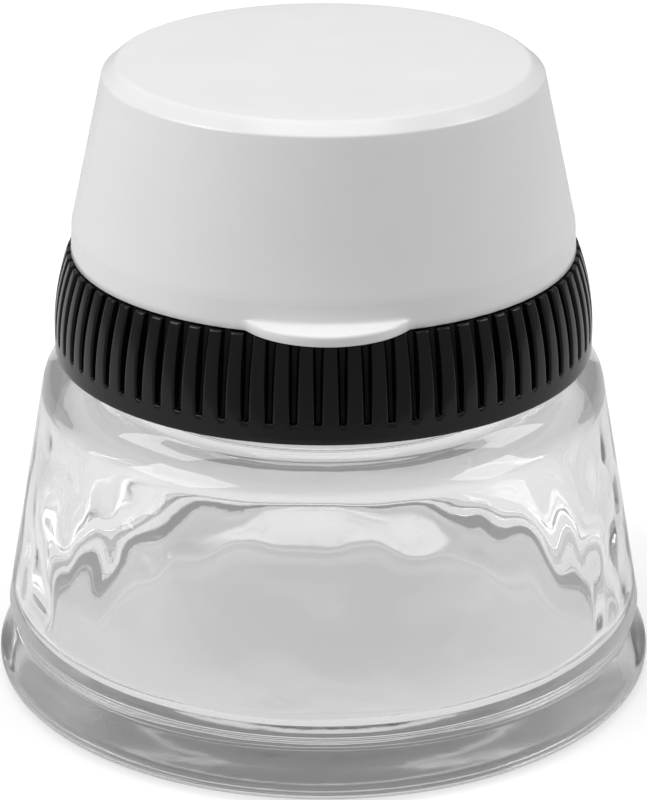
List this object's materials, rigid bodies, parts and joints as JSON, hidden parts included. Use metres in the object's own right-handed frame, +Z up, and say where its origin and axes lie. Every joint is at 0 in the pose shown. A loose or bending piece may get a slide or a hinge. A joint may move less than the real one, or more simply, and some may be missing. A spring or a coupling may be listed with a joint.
{
  "type": "airbrush cleaning pot",
  "caption": "Airbrush cleaning pot: pressed glass jar, ribbed black screw collar holding a deck with a slanted airbrush socket and a spray filter, and a white lift-off cap with a thumb tab.",
  "frame": {"origin": "on the table, under the jar's axis", "axes": "+Z up along the jar's axis, -Y towards the thumb tab, +X the way the airbrush socket leans"},
  "size_m": [0.105, 0.105, 0.0993],
  "materials": {
    "clear_glass": "clear pressed glass",
    "seal_rubber": "matte",
    "black_plastic": "satin moulded",
    "grey_silicone": "satin",
    "filter_felt": "felt",
    "white_plastic": "gloss moulded"
  },
  "bodies": {
    "jar": {"glass_jar": "clear_glass"},
    "seal": {"neck_gasket": "seal_rubber"},
    "deck": {"lid_deck": "black_plastic", "airbrush_socket": "black_plastic", "nozzle_bush": "grey_silicone", "bush_ring": "black_plastic", "filter_pad": "filter_felt"},
    "collar": {"screw_collar": "black_plastic"},
    "cap": {"palette_cap": "white_plastic"},
    "vent_cover": {"filter_cover": "black_plastic"}
  },
  "joints": [
    {"name": "lid_off", "type": "slide", "parent": "jar", "child": "seal", "axis": [0, 0, 1], "range_m": [0, 0.06]},
    {"name": "thread_rise", "type": "slide", "parent": "seal", "child": "deck", "axis": [0, 0, 1], "range_m": [0, 0.0063]},
    {"name": "collar_turn", "type": "hinge", "parent": "deck", "child": "collar", "pos_m": [0, 0, 0.061], "axis": [0, 0, 1], "range_deg": [0, 450]},
    {"name": "cap_lift", "type": "slide", "parent": "deck", "child": "cap", "axis": [0, 0, 1], "range_m": [0, 0.075]},
    {"name": "filter_lift", "type": "slide", "parent": "deck", "child": "vent_cover", "axis": [0, 0, 1], "range_m": [0, 0.007]}
  ],
  "couplings": [
    {"joint": "thread_rise", "follows": "collar_turn", "m_per_rad": 0.00079577}
  ]
}
